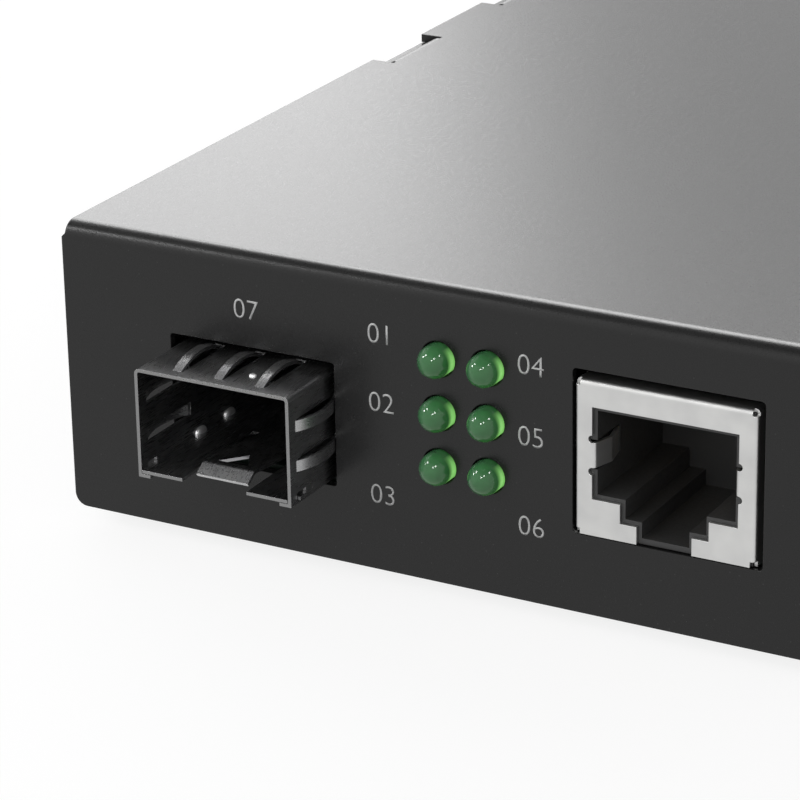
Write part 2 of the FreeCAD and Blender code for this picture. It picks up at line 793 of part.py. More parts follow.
def led_holder(x):
    """Moulded block that stacks one column of LEDs over the board's edge."""
    half = (led_column_pitch - holder_gap / 2) / 2
    top = led_rows[-1] + holder_cap
    body = block(x - half, x + half, holder_front_y, holder_rear_y, board_z, top)
    reach = led_flange_diameter / 2 + holder_fit
    channel = block(x - reach, x + reach, led_rear_y - led_flange_thickness, holder_rear_y + 1,
                    led_rows[0] - reach, led_rows[-1] + reach)
    bores = [rod(led_diameter / 2 + holder_fit, (x, holder_front_y - 1, z), (0, 1, 0),
                 holder_depth) for z in led_rows]
    peg_x, peg_y = holder_peg_place(x)
    peg = block(peg_x - holder_peg_half, peg_x + holder_peg_half, peg_y - holder_peg_half,
                peg_y + holder_peg_half, board_under_z, board_z + 0.5)
    return body.cut(bores + [channel]).fuse(peg).removeSplitter()


def holder_peg_place(x):
    return (x, holder_front_y + holder_depth * 0.6)


# RJ45 port

def plug_outline(step, y, floor_z):
    """Stepped outline of the plug opening down to floor_z, smaller by step all round."""
    x = rj45_centre_x
    heights = [board_z + plug_top - step, board_z + plug_floor + step, board_z + key_floor + step]
    widths = [plug_width / 2 - step, key_width / 2 - step, key_slot_width / 2 - step]
    right = [(widths[0], heights[0]), (widths[0], heights[1]), (widths[1], heights[1]),
             (widths[1], heights[2]), (widths[2], heights[2]), (widths[2], floor_z)]
    left = [(-across, height) for across, height in reversed(right)]
    return [(x + across, y, height) for across, height in right + left]


def rj45_shield():
    left = rj45_centre_x - rj45_width / 2
    right = rj45_centre_x + rj45_width / 2
    top = board_z + rj45_height
    rear = front_y + rj45_depth
    outer = block(left, right, front_y, rear, board_z, top)
    outer = round_edges(outer, rj45_edge_radius, lambda middle, run:
                        (abs(middle.y - front_y) < 0.01 and middle.z > board_z + 0.01)
                        or (abs(run.y) > 0.99 and abs(middle.z - top) < 0.01))
    inner = block(left + rj45_sheet, right - rj45_sheet, front_y + rj45_sheet,
                  rear - rj45_sheet, board_z - 1, top - rj45_sheet)
    cutters = [inner, prism(plug_outline(0, front_y - 1, board_z - 1), (0, 2, 0))]
    notch = rj45_corner_notch
    for side in (left, right):
        for low, high in ((top - notch, top + 1), (board_z - 1, board_z + notch)):
            cutters.append(block(side - notch, side + notch, front_y - 1, front_y + notch,
                                 low, high))
    for side in (-1, 1):
        edge = rj45_centre_x + side * plug_width / 2
        for way in (-1, 1):
            z = board_z + finger_rise + way * (finger_width / 2 + finger_relief_radius)
            cutters.append(rod(finger_relief_radius, (edge, front_y - 1, z), (0, 1, 0), 2))
    shell = outer.cut(cutters)
    pieces = [ground_finger(side) for side in (-1, 1)] + shield_legs()
    return shell.multiFuse(pieces).removeSplitter()


def ground_finger(side):
    """Spring finger folded into the opening from its side edge."""
    half = rj45_sheet / 2
    edge = rj45_centre_x + side * plug_width / 2
    fold = finger_fold_reach - half
    points = [(edge + side * 0.6, front_y + half), (edge - side * fold, front_y + half),
              (edge - side * finger_reach, front_y + finger_length * 0.5),
              (edge - side * finger_reach * 0.4, front_y + finger_length)]
    return bent_strip(points, rj45_sheet, 0.1, "XY", board_z + finger_rise - finger_width / 2,
                      finger_width)


def shield_leg_places():
    wall = rj45_width / 2 - rj45_sheet / 2
    y = front_y + rj45_peg_from_face + 3.5
    return [(rj45_centre_x + side * wall, y) for side in (-1, 1)]


def shield_legs():
    half = rj45_sheet / 2
    reach = shield_leg_width / 2
    return [block(x - half, x + half, y - reach, y + reach, board_under_z - tail_length,
                  board_z + 0.5) for x, y in shield_leg_places()]


def rj45_contact_line():
    """Heights and depths shared by the contacts and the moulding."""
    return {"level": board_z + plug_top - moulding_step - rj45_contact_thickness / 2 - 0.05,
            "tail_y": front_y + plug_depth + 3.4,
            "nose_y": front_y + 3.4,
            "tip": (front_y + plug_depth - 2.2, board_z + plug_top - 4.6)}


def rj45_contact_places():
    return [rj45_centre_x + shift for shift in centred(rj45_contact_count, rj45_contact_pitch)]


def rj45_contacts():
    line = rj45_contact_line()
    nose_y, level, turn = line["nose_y"], line["level"], rj45_contact_thickness * 1.5
    points = [(line["tail_y"], board_under_z - tail_length), (line["tail_y"], level),
              (nose_y, level), (nose_y - turn / 2, level - turn / 2), (nose_y, level - turn),
              line["tip"]]
    return Part.makeCompound([
        bent_strip(points, rj45_contact_thickness, 0, "YZ", x - rj45_contact_width / 2,
                   rj45_contact_width) for x in rj45_contact_places()])


def rj45_peg_places():
    return [(rj45_centre_x + side * rj45_peg_spacing / 2, front_y + rj45_peg_from_face)
            for side in (-1, 1)]


def rj45_housing():
    """Moulding with the stepped plug cavity, finger pockets and contact channels."""
    gap = 0.05
    left = rj45_centre_x - rj45_width / 2 + rj45_sheet + gap
    right = rj45_centre_x + rj45_width / 2 - rj45_sheet - gap
    front = front_y + rj45_sheet + gap
    body = block(left, right, front, front_y + rj45_depth - rj45_sheet - gap, board_z,
                 board_z + rj45_height - rj45_sheet - gap)
    cavity = prism(plug_outline(moulding_step, front - 1, board_z + key_slot_floor),
                   (0, plug_depth, 0))
    line = rj45_contact_line()
    half_row = rj45_contact_count * rj45_contact_pitch / 2
    half = rj45_contact_thickness / 2 + 0.05
    back = block(rj45_centre_x - half_row, rj45_centre_x + half_row, line["tail_y"] - half,
                 front_y + rj45_depth, board_z - 1, line["level"] + half)
    channel = block(rj45_centre_x - half_row, rj45_centre_x + half_row,
                    front + plug_depth - 1.5, line["tail_y"] + 1, line["level"] - half,
                    line["level"] + half)
    cutters = [cavity, back, channel]
    z = board_z + finger_rise
    pocket = finger_width / 2 + 0.2
    for side in (-1, 1):
        edges = sorted((rj45_centre_x + side * (plug_width / 2 + 0.7), rj45_centre_x))
        cutters.append(block(edges[0], edges[1], front - 1, front + finger_length,
                             z - pocket, z + pocket))
    pegs = [rod(rj45_peg_radius, (x, y, board_under_z), (0, 0, 1), board_thickness + 0.5)
            for x, y in rj45_peg_places()]
    return body.cut(cutters).multiFuse(pegs).removeSplitter()


# DC inlet

def dc_jack_housing():
    left = jack_centre_x - jack_width / 2
    right = jack_centre_x + jack_width / 2
    body = block(left, right, jack_front_y, rear_y, board_z, board_z + jack_height)
    body = round_edges(body, 1.2, lambda middle, run: abs(run.y) > 0.99
                       and middle.z > board_z + 1)
    bore = rod(jack_bore_radius, (jack_centre_x, rear_y - jack_bore_depth, jack_axis_z),
               (0, 1, 0), jack_bore_depth + 1)
    pin_hole = rod(jack_pin_radius, (jack_centre_x, jack_front_y - 1, jack_axis_z),
                   (0, 1, 0), jack_depth)
    half = jack_strip_width / 2 + 0.1
    spring_slot = block(jack_centre_x - half, jack_centre_x + half, jack_spring_y() - 0.25,
                        rear_y - 2.0, jack_axis_z - jack_bore_radius - 0.9, jack_axis_z)
    spring_well = block(jack_centre_x - half, jack_centre_x + half, jack_spring_y() - 0.25,
                        jack_spring_y() + 0.25, board_z - 1, jack_axis_z - jack_bore_radius)
    return body.cut([bore, pin_hole, spring_slot, spring_well]).removeSplitter()


def jack_spring_y():
    return rear_y - jack_bore_depth + 0.6


def jack_tail_places():
    """The board slots: (x, y) of the pin's tail and the spring's tail."""
    return [(jack_centre_x, jack_front_y - jack_strip_thickness / 2),
            (jack_centre_x, jack_spring_y())]


def dc_jack_pin():
    """Centre pin with a round nose, riveted to the flat tail behind the moulding."""
    length = jack_depth - jack_pin_short
    nose = jack_pin_radius * 0.5
    outline = [(0, 0), (jack_pin_radius, 0), (jack_pin_radius, length - nose),
               (jack_pin_radius - nose, length), (0, length)]
    pin = turned(outline, (jack_centre_x, jack_front_y, jack_axis_z), (0, 1, 0))
    half = jack_strip_width / 2
    tail = block(jack_centre_x - half, jack_centre_x + half, jack_front_y - jack_strip_thickness,
                 jack_front_y, board_z, jack_axis_z + half)
    leg = block(jack_centre_x - half / 2, jack_centre_x + half / 2,
                jack_front_y - jack_strip_thickness, jack_front_y,
                board_under_z - tail_length, board_z)
    return pin.multiFuse([tail, leg]).removeSplitter()


def dc_jack_spring():
    """Sleeve contact: a strip that comes up through the moulding and bows into the bore."""
    low = jack_axis_z - jack_bore_radius
    points = [(jack_spring_y(), board_under_z - tail_length), (jack_spring_y(), low - 0.6),
              (rear_y - 4.6, low + 0.5), (rear_y - 2.6, low - 0.5)]
    return bent_strip(points, jack_strip_thickness, 0.2, "YZ",
                      jack_centre_x - jack_strip_width / 2, jack_strip_width)


# Parts on the board

def gull_wing(edge, height, reach):
    """Mid line of a gull-wing lead, from inside the body's face down to its foot."""
    foot_z = lead_thickness / 2
    return [(edge, height), (edge + reach * 0.45, height), (edge + reach * 0.6, foot_z),
            (edge + reach, foot_z)]


def lead_comb(size, per_side, pitch, height, sides, centre):
    """Leads on the given sides of a body: a list of separate solids round centre."""
    leads = []
    for angle, edge in sides:
        for shift in centred(per_side, pitch):
            lead = bent_strip(gull_wing(edge, height, lead_reach), lead_thickness, 0, "YZ",
                              shift - lead_width / 2, lead_width)
            lead.rotate(Vec(0, 0, 0), Vec(0, 0, 1), angle)
            lead.translate(Vec(*centre))
            leads.append(lead)
    return leads


def bevelled_body(length, width, height, centre, bevel):
    """Moulded chip body: widest at mid height, drawn in above and below."""
    x, y, z = centre
    levels = ((0, bevel), (height / 2, 0), (height, bevel))
    wires = []
    for rise, inset in levels:
        a, b = length / 2 - inset, width / 2 - inset
        corners = [Vec(x - a, y - b, z + rise), Vec(x + a, y - b, z + rise),
                   Vec(x + a, y + b, z + rise), Vec(x - a, y + b, z + rise)]
        wires.append(Part.makePolygon(corners + corners[:1]))
    return Part.makeLoft(wires, True, True)


def chip_centre():
    return (chip_place[0], front_y + chip_place[1], board_z)


def switch_chip():
    x, y, z = chip_centre()
    low = z + chip_standoff
    body = bevelled_body(chip_size, chip_size, chip_height, (x, y, low), 0.15)
    corner = chip_size / 2 - 1.6
    mark = rod(0.5, (x - corner, y - corner, low + chip_height - 0.1), (0, 0, 1), 1)
    return body.cut(mark)


def switch_chip_leads():
    half = chip_size / 2
    sides = [(angle, half) for angle in (0, 90, 180, 270)]
    return Part.makeCompound(lead_comb(chip_size, chip_leads_per_side, chip_lead_pitch,
                                       chip_standoff + chip_height / 2, sides, chip_centre()))


def transformer_centre():
    return (rj45_centre_x, front_y + rj45_depth + transformer_behind_port, board_z)


def lan_transformer():
    x, y, z = transformer_centre()
    return bevelled_body(transformer_length, transformer_width, transformer_height,
                         (x, y, z + chip_standoff), 0.25)


def lan_transformer_leads():
    half = transformer_width / 2
    sides = [(0, half), (180, half)]
    return Part.makeCompound(lead_comb(transformer_length, transformer_leads_per_side,
                                       transformer_lead_pitch,
                                       chip_standoff + transformer_height / 2, sides,
                                       transformer_centre()))


def obround(length, width, height, centre):
    x, y, z = centre
    half = (length - width) / 2
    ends = [rod(width / 2, (x + side * half, y, z), (0, 0, 1), height) for side in (-1, 1)]
    middle = block(x - half, x + half, y - width / 2, y + width / 2, z, z + height)
    return middle.multiFuse(ends).removeSplitter()


def crystal():
    x, y = crystal_place[0], front_y + crystal_place[1]
    a, b = crystal_length / 2, crystal_width / 2
    base = block(x - a, x + a, y - b, y + b, board_z, board_z + 0.5)
    can = obround(crystal_length - 1.0, crystal_width - 1.0, crystal_height, (x, y, board_z))
    return base.fuse(can).removeSplitter()


def capacitor_places():
    return {"capacitor_1": (jack_centre_x, jack_front_y - 6.5),
            "capacitor_2": (jack_centre_x - 11.0, rear_y - 24.0),
            "capacitor_3": (cage_centre_x, cage_rear_y + 8.0)}


def capacitor(place):
    """Can capacitor: aluminium can on a base with two clipped corners."""
    x, y = place
    half = capacitor_radius + 0.15
    base = block(x - half, x + half, y - half, y + half, board_z, board_z + 1.0)
    base = base.makeChamfer(1.2, [edge for edge in base.Edges
                                  if edge.BoundBox.ZLength > 0.9
                                  and edge.CenterOfMass.y < y])
    can = rod(capacitor_radius, (x, y, board_z), (0, 0, 1), capacitor_height)
    return base.fuse(can).removeSplitter()


def power_inductor():
    x, y = jack_centre_x - 11.0, rear_y - 14.0
    half = inductor_size / 2
    body = block(x - half, x + half, y - half, y + half, board_z, board_z + inductor_height)
    return body.makeChamfer(1.5, [edge for edge in body.Edges if edge.BoundBox.ZLength > 1])


def regulator_centre():
    return (jack_centre_x - 21.5, rear_y - 16.0, board_z)


def voltage_regulator():
    length, width, height = regulator_size
    x, y, z = regulator_centre()
    return bevelled_body(length, width, height, (x, y, z + chip_standoff), 0.15)


def voltage_regulator_leads():
    """Three gull-wing leads on one side and the wide heat tab on the other."""
    length, width, height = regulator_size
    centre = regulator_centre()
    middle = chip_standoff + height / 2
    leads = []
    for shift, wide, angle in ((-2.3, 0.7, 180), (0, 0.7, 180), (2.3, 0.7, 180), (0, 3.0, 0)):
        lead = bent_strip(gull_wing(width / 2, middle, 1.6), 0.25, 0, "YZ",
                          shift - wide / 2, wide)
        lead.rotate(Vec(0, 0, 0), Vec(0, 0, 1), angle)
        lead.translate(Vec(*centre))
        leads.append(lead)
    lift = Vec(0, 0, (0.25 - lead_thickness) / 2)
    return Part.makeCompound([lead.translated(lift) for lead in leads])


def ceramic_places():
    """Small ceramic parts: rows beside the chip, the port, the LEDs and the inlet."""
    places = []
    x, y, z = chip_centre()
    for shift in centred(4, 3.0):
        places.append((x + shift, y + chip_size / 2 + 3.4))
        places.append((x + shift, y - chip_size / 2 - 3.4))
    for shift in centred(6, 1.9):
        places.append((led_columns[1] + 5.0, front_y + 14.0 + shift))
    x, y, z = transformer_centre()
    for shift in centred(4, 3.0):
        places.append((x + shift, y + transformer_width / 2 + 3.2))
    x, y, z = regulator_centre()
    for shift in centred(3, 3.0):
        places.append((x + shift, y - 6.0))
    return places


def ceramic_parts():
    length, width, height = ceramic_size
    return Part.makeCompound([
        block(x - length / 2, x + length / 2, y - width / 2, y + width / 2, board_z,
              board_z + height) for x, y in ceramic_places()])


def main_board():
    half = wall_inner - board_gap
    board = rounded_block(-half, half, inner_front_y + board_gap, rear_y - sheet - board_gap,
                          board_under_z, board_z, board_corner_radius, 2)
    round_holes = [(x, y, board_hole_radius) for x, y in standoff_places.values()]
    round_holes += [(x, y, rj45_peg_radius + pin_hole_gap) for x, y in rj45_peg_places()]
    cutters = [rod(radius, (x, y, board_under_z - 1), (0, 0, 1), board_thickness + 2)
               for x, y, radius in round_holes]
    for x, y, across, along in board_leads():
        a, b = across / 2 + pin_hole_gap, along / 2 + pin_hole_gap
        cutters.append(block(x - a, x + a, y - b, y + b, board_under_z - 1, board_z + 1))
    return board.cut(cutters)


def board_leads():
    """Every flat or square lead through the board: (x, y, size across, size along)."""
    size = led_lead_size
    leads = [(x, y, size, size) for x, z, y in led_lead_places()]
    peg = 2 * holder_peg_half
    leads += [holder_peg_place(x) + (peg, peg) for x in led_columns]
    tail_y = rj45_contact_line()["tail_y"]
    leads += [(x, tail_y, rj45_contact_width, rj45_contact_thickness)
              for x in rj45_contact_places()]
    leads += [place + (cage_sheet, cage_pin_width) for place in cage_pins()]
    leads += [place + (rj45_sheet, shield_leg_width) for place in shield_leg_places()]
    leads += [place + (jack_strip_width, jack_strip_thickness) for place in jack_tail_places()]
    return leads


# Every node, by name

nodes = {
    "top_cover": top_cover(),
    "base_tray": base_tray(),
    "cover_screws": cover_screws(),
    "main_board": main_board(),
    "board_screws": board_screws(),
    "sfp_cage_shell": sfp_cage_shell(),
    "sfp_cage_floor": sfp_cage_floor(),
    "sfp_connector": sfp_connector(),
    "sfp_connector_contacts": sfp_connector_contacts(),
    "led_holder_left": led_holder(led_columns[0]),
    "led_holder_right": led_holder(led_columns[1]),
    "led_leads": led_leads(),
    "rj45_shield": rj45_shield(),
    "rj45_housing": rj45_housing(),
    "rj45_contacts": rj45_contacts(),
    "dc_jack_housing": dc_jack_housing(),
    "dc_jack_pin": dc_jack_pin(),
    "dc_jack_spring": dc_jack_spring(),
    "switch_chip": switch_chip(),
    "switch_chip_leads": switch_chip_leads(),
    "lan_transformer": lan_transformer(),
    "lan_transformer_leads": lan_transformer_leads(),
    "crystal": crystal(),
    "voltage_regulator": voltage_regulator(),
    "voltage_regulator_leads": voltage_regulator_leads(),
    "power_inductor": power_inductor(),
    "ceramic_parts": ceramic_parts(),
}
for name, place in standoff_places.items():
    nodes["standoff_" + name] = standoff(place)
for name, place in foot_places.items():
    nodes["foot_" + name] = foot(place)
for name, place in capacitor_places().items():
    nodes[name] = capacitor(place)
number = 0
for x in led_columns:
    for z in reversed(led_rows):
        number += 1
        nodes["led_%d" % number] = led(x, z)

for name, shape in nodes.items():
    shape.exportStep("parts/%s.step" % name)
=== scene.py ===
import math

import bmesh
import bpy
from mathutils import Matrix, Vector


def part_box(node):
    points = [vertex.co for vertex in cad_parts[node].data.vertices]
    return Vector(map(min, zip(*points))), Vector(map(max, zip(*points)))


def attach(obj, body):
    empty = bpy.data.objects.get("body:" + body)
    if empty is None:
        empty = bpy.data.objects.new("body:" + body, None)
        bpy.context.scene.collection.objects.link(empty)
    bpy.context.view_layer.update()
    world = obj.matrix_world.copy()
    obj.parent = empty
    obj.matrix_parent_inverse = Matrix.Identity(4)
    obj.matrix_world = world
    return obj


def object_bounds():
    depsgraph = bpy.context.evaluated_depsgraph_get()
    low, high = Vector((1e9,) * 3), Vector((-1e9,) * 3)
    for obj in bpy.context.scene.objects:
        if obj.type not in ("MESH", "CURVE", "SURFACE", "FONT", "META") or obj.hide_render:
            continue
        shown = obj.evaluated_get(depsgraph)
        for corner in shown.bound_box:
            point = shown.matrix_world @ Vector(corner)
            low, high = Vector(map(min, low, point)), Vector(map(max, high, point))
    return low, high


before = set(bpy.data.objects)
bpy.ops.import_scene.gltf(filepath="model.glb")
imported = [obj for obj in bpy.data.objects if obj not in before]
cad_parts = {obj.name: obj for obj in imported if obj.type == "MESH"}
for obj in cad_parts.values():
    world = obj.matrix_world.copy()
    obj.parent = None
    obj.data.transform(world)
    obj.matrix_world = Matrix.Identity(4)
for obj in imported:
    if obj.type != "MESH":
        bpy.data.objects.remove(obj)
cad_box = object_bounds()

# Metres, in the frame's axes: +X right seen from the front, +Y to the rear, +Z up.
MM = 0.001
panel_low, panel_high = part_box("top_cover")
front = panel_low.y
panel_left = panel_low.x
panel_bottom = panel_low.z
centre = (panel_low + panel_high) / 2           # the lamps face it

# Camera: the point of the panel that it looks at, and from where
look_at = Vector((panel_left + 33.4 * MM, front, panel_bottom + 16.0 * MM))
camera_azimuth = 29.44          # degrees round to the object's right
camera_elevation = 21.95
camera_roll = 1.09
camera_distance = 301.0 * MM
camera_lens = 162.26            # mm
camera_sensor = 36              # mm
camera_near = 0.01              # nothing nearer or further is drawn
camera_far = 50


def direction(azimuth, elevation):
    """Unit vector from the object towards a place: azimuth 0 is in front, 90 to the right."""
    a, e = math.radians(azimuth), math.radians(elevation)
    return Vector((math.sin(a) * math.cos(e), -math.cos(a) * math.cos(e), math.sin(e)))


def add_camera():
    data = bpy.data.cameras.new("camera")
    data.lens = camera_lens
    data.sensor_width = camera_sensor
    data.clip_start = camera_near
    data.clip_end = camera_far
    back = direction(camera_azimuth, camera_elevation)
    right = Vector((0, 0, 1)).cross(back).normalized()
    up = back.cross(right)
    roll = math.radians(camera_roll)
    turned_right = right * math.cos(roll) - up * math.sin(roll)
    turned_up = up * math.cos(roll) + right * math.sin(roll)
    axes = Matrix((turned_right, turned_up, back)).transposed()
    camera = bpy.data.objects.new("camera", data)
    camera.matrix_world = Matrix.Translation(look_at + back * camera_distance) @ axes.to_4x4()
    bpy.context.scene.collection.objects.link(camera)
    bpy.context.scene.camera = camera


# Node materials

def set_socket(tree, socket, value):
    """Links value if it is another node's output, and otherwise sets it on the socket."""
    if isinstance(value, bpy.types.NodeSocket):
        tree.links.new(value, socket)
    else:
        socket.default_value = value


def add_node(tree, kind, inputs=None, **settings):
    """A node with the settings given, and inputs given by name or number."""
    made = tree.nodes.new(kind)
    for name, value in settings.items():
        setattr(made, name, value)
    for key, value in (inputs or {}).items():
        set_socket(tree, made.inputs[key], value)
    return made


noise_span = (0.3, 0.7)         # where nearly all of a noise's values lie
colour_a, colour_b, colour_result = 6, 7, 2     # a mix node's sockets for colours
bevel_samples = 6
beyond = 1e3                    # mm, further than any place on the object


class Finish:
    """A node material built round one Principled shader.

    Places, sizes and depths are in millimetres, in the object's coordinates."""

    def __init__(self, name, **sockets):
        self.material = bpy.data.materials.new(name)
        self.material.use_nodes = True
        self.tree = self.material.node_tree
        self.shader = self.tree.nodes["Principled BSDF"]
        self.surface = None
        for socket, value in sockets.items():
            self.shade(socket.replace("_", " "), value)
        place = self.node("ShaderNodeTexCoord").outputs["Object"]
        self.place = self.vector("MULTIPLY", place, (1 / MM, 1 / MM, 1 / MM))

    def node(self, kind, inputs=None, **settings):
        return add_node(self.tree, kind, inputs, **settings)

    def shade(self, socket, value):
        set_socket(self.tree, self.shader.inputs[socket], value)

    def vector(self, operation, first, second=(0, 0, 0)):
        made = self.node("ShaderNodeVectorMath", {0: first, 1: second}, operation=operation)
        return made.outputs["Vector"]

    def math(self, operation, first, second):
        made = self.node("ShaderNodeMath", {0: first, 1: second}, operation=operation)
        return made.outputs["Value"]

    def noise(self, size, detail=2, roughness=0.5, stretch=(1, 1, 1)):
        """Noise whose blobs are about size across, and longer along an axis of small stretch."""
        place = self.vector("MULTIPLY", self.place, stretch)
        made = self.node("ShaderNodeTexNoise", {"Scale": 1 / size, "Detail": detail,
                                                "Roughness": roughness, "Vector": place})
        return made.outputs["Fac"]

    def spots(self, spacing, radius, softness):
        """1 at scattered round spots, 0 between. radius and softness are shares of spacing."""
        made = self.node("ShaderNodeTexVoronoi", {"Scale": 1 / spacing, "Vector": self.place})
        return self.ramp(made.outputs["Distance"], radius, radius + softness, 1, 0)

    def ramp(self, value, low, high, at_low=0.0, at_high=1.0):
        """Takes low to at_low and high to at_high, and nothing past them."""
        inputs = {0: value, 1: low, 2: high, 3: at_low, 4: at_high}
        return self.node("ShaderNodeMapRange", inputs, clamp=True).outputs["Result"]

    def spread(self, noise, at_low=0.0, at_high=1.0):
        """Brings a noise from at_low to at_high."""
        return self.ramp(noise, *noise_span, at_low, at_high)

    def mix(self, factor, first, second):
        """The colour first where factor is 0, second where it is 1."""
        inputs = {"Factor": factor, colour_a: first, colour_b: second}
        return self.node("ShaderNodeMix", inputs, data_type="RGBA").outputs[colour_result]

    def colour(self, value):
        self.shade("Base Color", value)

    def tint(self, noise, dark, light):
        """A base colour that varies with a noise."""
        self.colour(self.mix(self.spread(noise), dark, light))

    def rough(self, noise, least, most):
        """A roughness that varies with a noise."""
        self.shade("Roughness", self.spread(noise, least, most))

    def shape(self, normal):
        """Gives the shader a normal, from which later relief starts."""
        self.surface = normal
        self.shade("Normal", normal)

    def bump(self, height, depth):
        """Relief whose full height is depth, over the relief already there."""
        inputs = {"Height": height, "Distance": depth * MM}
        if self.surface is not None:
            inputs["Normal"] = self.surface
        self.shape(self.node("ShaderNodeBump", inputs).outputs["Normal"])

    def soft_edges(self, radius):
        """Rounds sharp edges over radius, as a coating does. It comes before any bump."""
        inputs = {"Radius": radius * MM}
        self.shape(self.node("ShaderNodeBevel", inputs, samples=bevel_samples).outputs["Normal"])

    def facing(self, way):
        """How far the surface faces along the unit vector way: 1 when straight."""
        normal = self.node("ShaderNodeNewGeometry").outputs["Normal"]
        made = self.node("ShaderNodeVectorMath", {0: normal, 1: way}, operation="DOT_PRODUCT")
        return made.outputs["Value"]

    def round_dome(self, dome_centre):
        """Exact normals for a ball-ended rod that points to the front from dome_centre.

        Returns the distance behind dome_centre."""
        reach = self.vector("SUBTRACT", self.place, tuple(value / MM for value in dome_centre))
        forward = self.vector("MINIMUM", reach, (beyond, 0, beyond))
        self.shape(self.vector("NORMALIZE", forward))
        return self.node("ShaderNodeSeparateXYZ", {0: reach}).outputs["Y"]


def rgb(red, green, blue):
    return (red, green, blue, 1)


def grey(value):
    return rgb(value, value, value)


dust_share = 0.30               # how far a speck of dust covers the coat


def case_paint():
    """Black powder coat: orange peel, fine grain and a little dust."""
    paint = Finish("case_paint", Specular_IOR_Level=0.34)
    grain = paint.noise(size=0.14, detail=3, roughness=0.65)
    peel = paint.noise(size=0.8, detail=1)
    cloud = paint.noise(size=14)
    dust = paint.spots(spacing=1.1, radius=0.045, softness=0.03)
    coat = paint.mix(paint.spread(cloud, 0.3, 0.7), grey(0.0070), grey(0.0105))
    paint.colour(paint.mix(paint.math("MULTIPLY", dust, dust_share), coat, grey(0.10)))
    paint.rough(grain, 0.255, 0.34)
    paint.soft_edges(radius=0.12)
    paint.bump(peel, depth=0.004)
    paint.bump(grain, depth=0.0035)
    return paint.material


to_front = (0, -1, 0)
sheared_from, sheared_to = 0.93, 0.99       # of facing, for the cage's front edges


def cage_metal():
    """Nickel-plated spring steel: rolling lines along the strip, dull sheared front edges."""
    metal = Finish("cage_metal", Metallic=1.0)
    lines = metal.noise(size=0.12, detail=3, stretch=(1, 0.06, 1))
    stain = metal.noise(size=3.2)
    plate = metal.mix(metal.spread(stain), rgb(0.34, 0.34, 0.35), grey(0.44))
    sheared = metal.ramp(metal.facing(to_front), sheared_from, sheared_to)
    metal.colour(metal.mix(sheared, plate, grey(0.235)))
    metal.rough(lines, 0.245, 0.335)
    metal.soft_edges(radius=0.05)
    metal.bump(lines, depth=0.001)
    return metal.material


def port_metal():
    """Bright nickel plate with a fine drawn grain."""
    metal = Finish("port_metal", Metallic=1.0)
    lines = metal.noise(size=0.09, stretch=(0.08, 1, 1))
    metal.tint(metal.noise(size=2.5), rgb(0.53, 0.53, 0.525), rgb(0.60, 0.60, 0.59))
    metal.rough(lines, 0.34, 0.44)
    metal.soft_edges(radius=0.08)
    metal.bump(lines, depth=0.001)
    return metal.material


def circuit_board():
    """Dark green solder mask over a net of slightly raised, lighter tracks."""
    board = Finish("circuit_board", Coat_Weight=0.2)
    bricks = {"Scale": 0.45, "Mortar Size": 0.06, "Vector": board.place}
    tracks = board.node("ShaderNodeTexBrick", bricks).outputs["Fac"]
    board.colour(board.mix(tracks, rgb(0.004, 0.010, 0.006), rgb(0.006, 0.016, 0.009)))
    board.rough(board.noise(size=0.5, detail=1), 0.32, 0.46)
    board.bump(tracks, depth=0.02)
    return board.material


painted_glow_way = (0.97, 0, -0.24)    # painted glow on the lens: the way it faces, to the right and a bit down
painted_glow_from = 0.35           # of facing that way: the painted glow starts here and is full at 1
painted_glow_depth = 0.30          # mm on each side of the dome's centre, over which it sets in
# The painted glow's lighter tint, its emission colour and its strength
painted_glow_tint = rgb(0.50, 1.0, 0.38)
painted_glow_colour = rgb(0.22, 0.60, 0.14)
painted_glow_strength = 0.8
lens_clear = 0.35               # share of light that the milky epoxy lets through


def led_green(dome_centre):
    """Tinted epoxy lens, a little milky, with a painted glow of lighter tint and emission on its
    right side near the panel.
    """
    lens = Finish("led_green", IOR=1.5, Specular_IOR_Level=0.36)
    cloud = lens.noise(size=0.8, detail=1)
    depth = lens.round_dome(dome_centre)
    # side: where the glow is painted, on the right near the panel; there the lens lets no light
    # through
    turned = lens.ramp(lens.facing(painted_glow_way), painted_glow_from, 1)
    behind = lens.ramp(depth, -painted_glow_depth, painted_glow_depth)
    side = lens.math("MULTIPLY", turned, behind)
    body = lens.mix(lens.spread(cloud), rgb(0.071, 0.262, 0.102), rgb(0.083, 0.292, 0.116))
    lens.colour(lens.mix(side, body, painted_glow_tint))
    lens.shade("Transmission Weight", lens.ramp(side, 0, 1, lens_clear, 0))
    lens.shade("Emission Color", painted_glow_colour)
    lens.shade("Emission Strength", lens.math("MULTIPLY", side, painted_glow_strength))
    lens.rough(cloud, 0.020, 0.026)
    return lens.material


def legend_ink():
    """Pale screen-printed ink."""
    paint = Finish("legend_ink", Specular_IOR_Level=0.3)
    grain = paint.noise(size=0.12)
    paint.tint(grain, grey(0.62), grey(0.72))
    paint.rough(grain, 0.45, 0.6)
    paint.bump(grain, depth=0.002)
    return paint.material


def moulded(name, dark, light, least_rough, most_rough, grain_size=0.25, depth=0.004):
    """Moulded plastic with a fine spark-eroded texture."""
    plastic = Finish(name)
    grain = plastic.noise(grain_size)
    plastic.tint(plastic.noise(size=6, detail=1), dark, light)
    plastic.rough(grain, least_rough, most_rough)
    plastic.soft_edges(radius=0.06)
    plastic.bump(grain, depth)
    return plastic.material


def plated(name, dark, light, least_rough, most_rough, stretch=(1, 1, 1)):
    """Plated or turned metal, with its grain drawn out along the axis of small stretch."""
    metal = Finish(name, Metallic=1.0)
    lines = metal.noise(size=0.3, detail=3, stretch=stretch)
    metal.tint(metal.noise(size=2.2), dark, light)
    metal.rough(lines, least_rough, most_rough)
    metal.bump(lines, depth=0.0015)
    return metal.material


